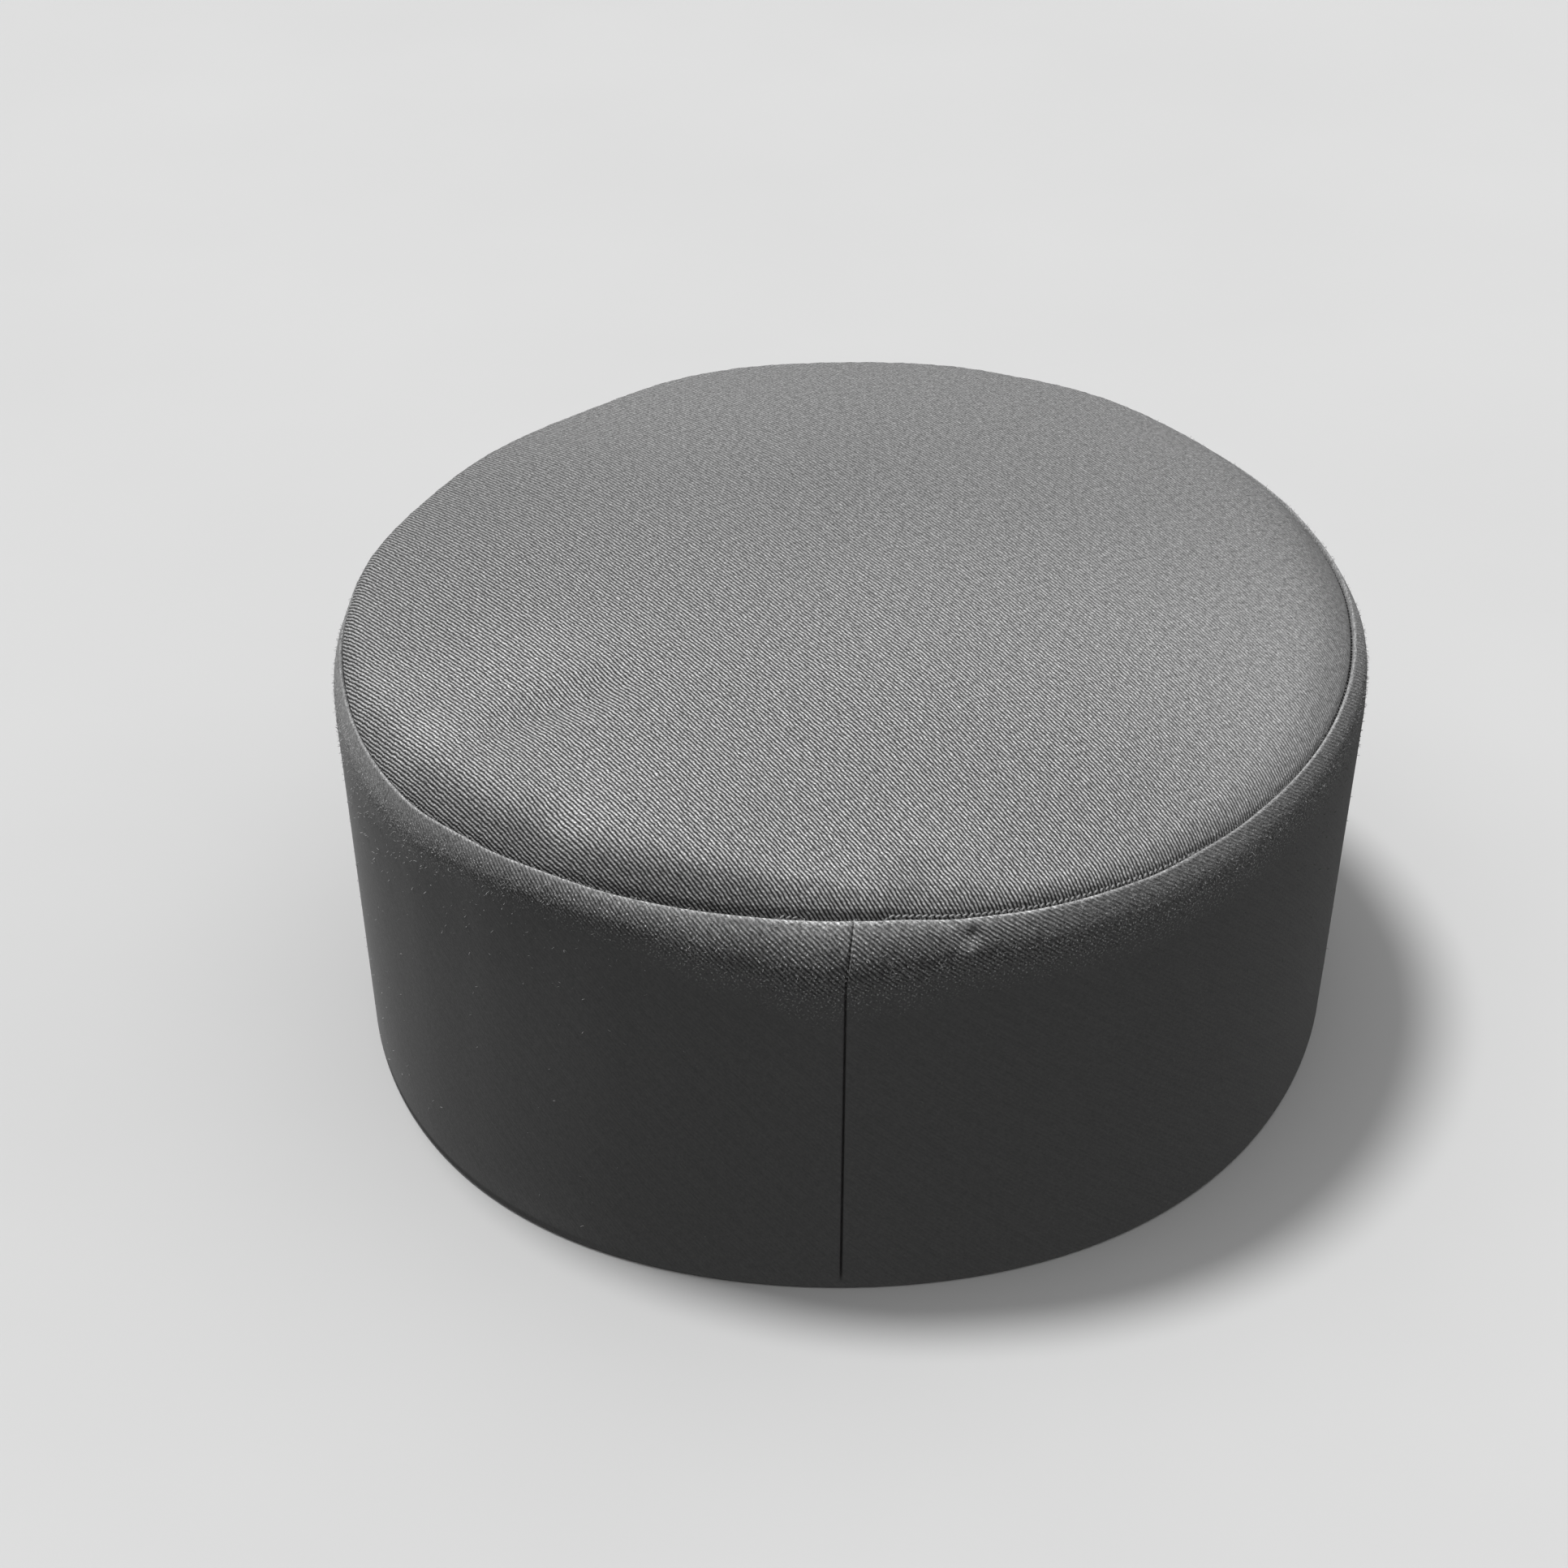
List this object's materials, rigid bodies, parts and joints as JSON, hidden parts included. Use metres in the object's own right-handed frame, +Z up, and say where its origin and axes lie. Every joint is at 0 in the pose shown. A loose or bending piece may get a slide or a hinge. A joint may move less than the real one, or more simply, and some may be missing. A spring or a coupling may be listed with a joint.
{
  "type": "prayer cap",
  "caption": "Round brimless prayer cap: a shallow domed twill top sewn into a stiff side band with a rolled shoulder and a seam at the centre back.",
  "frame": {"origin": "midway along and across the cap, on the plane of the lower edge that it stands on", "axes": "+Z up through the top, +Y towards the forehead, +X towards the wearer's right ear; the band's closing seam is at -Y"},
  "size_m": [0.1795, 0.2145, 0.0809],
  "materials": {
    "top_twill": "matt mid-grey cotton twill with fine diagonal ribs",
    "band_twill": "the same mid-grey twill over a stiff core, pressed smooth"
  },
  "bodies": {
    "root": {"crown_top": "top_twill", "side_band": "band_twill"}
  },
  "joints": []
}
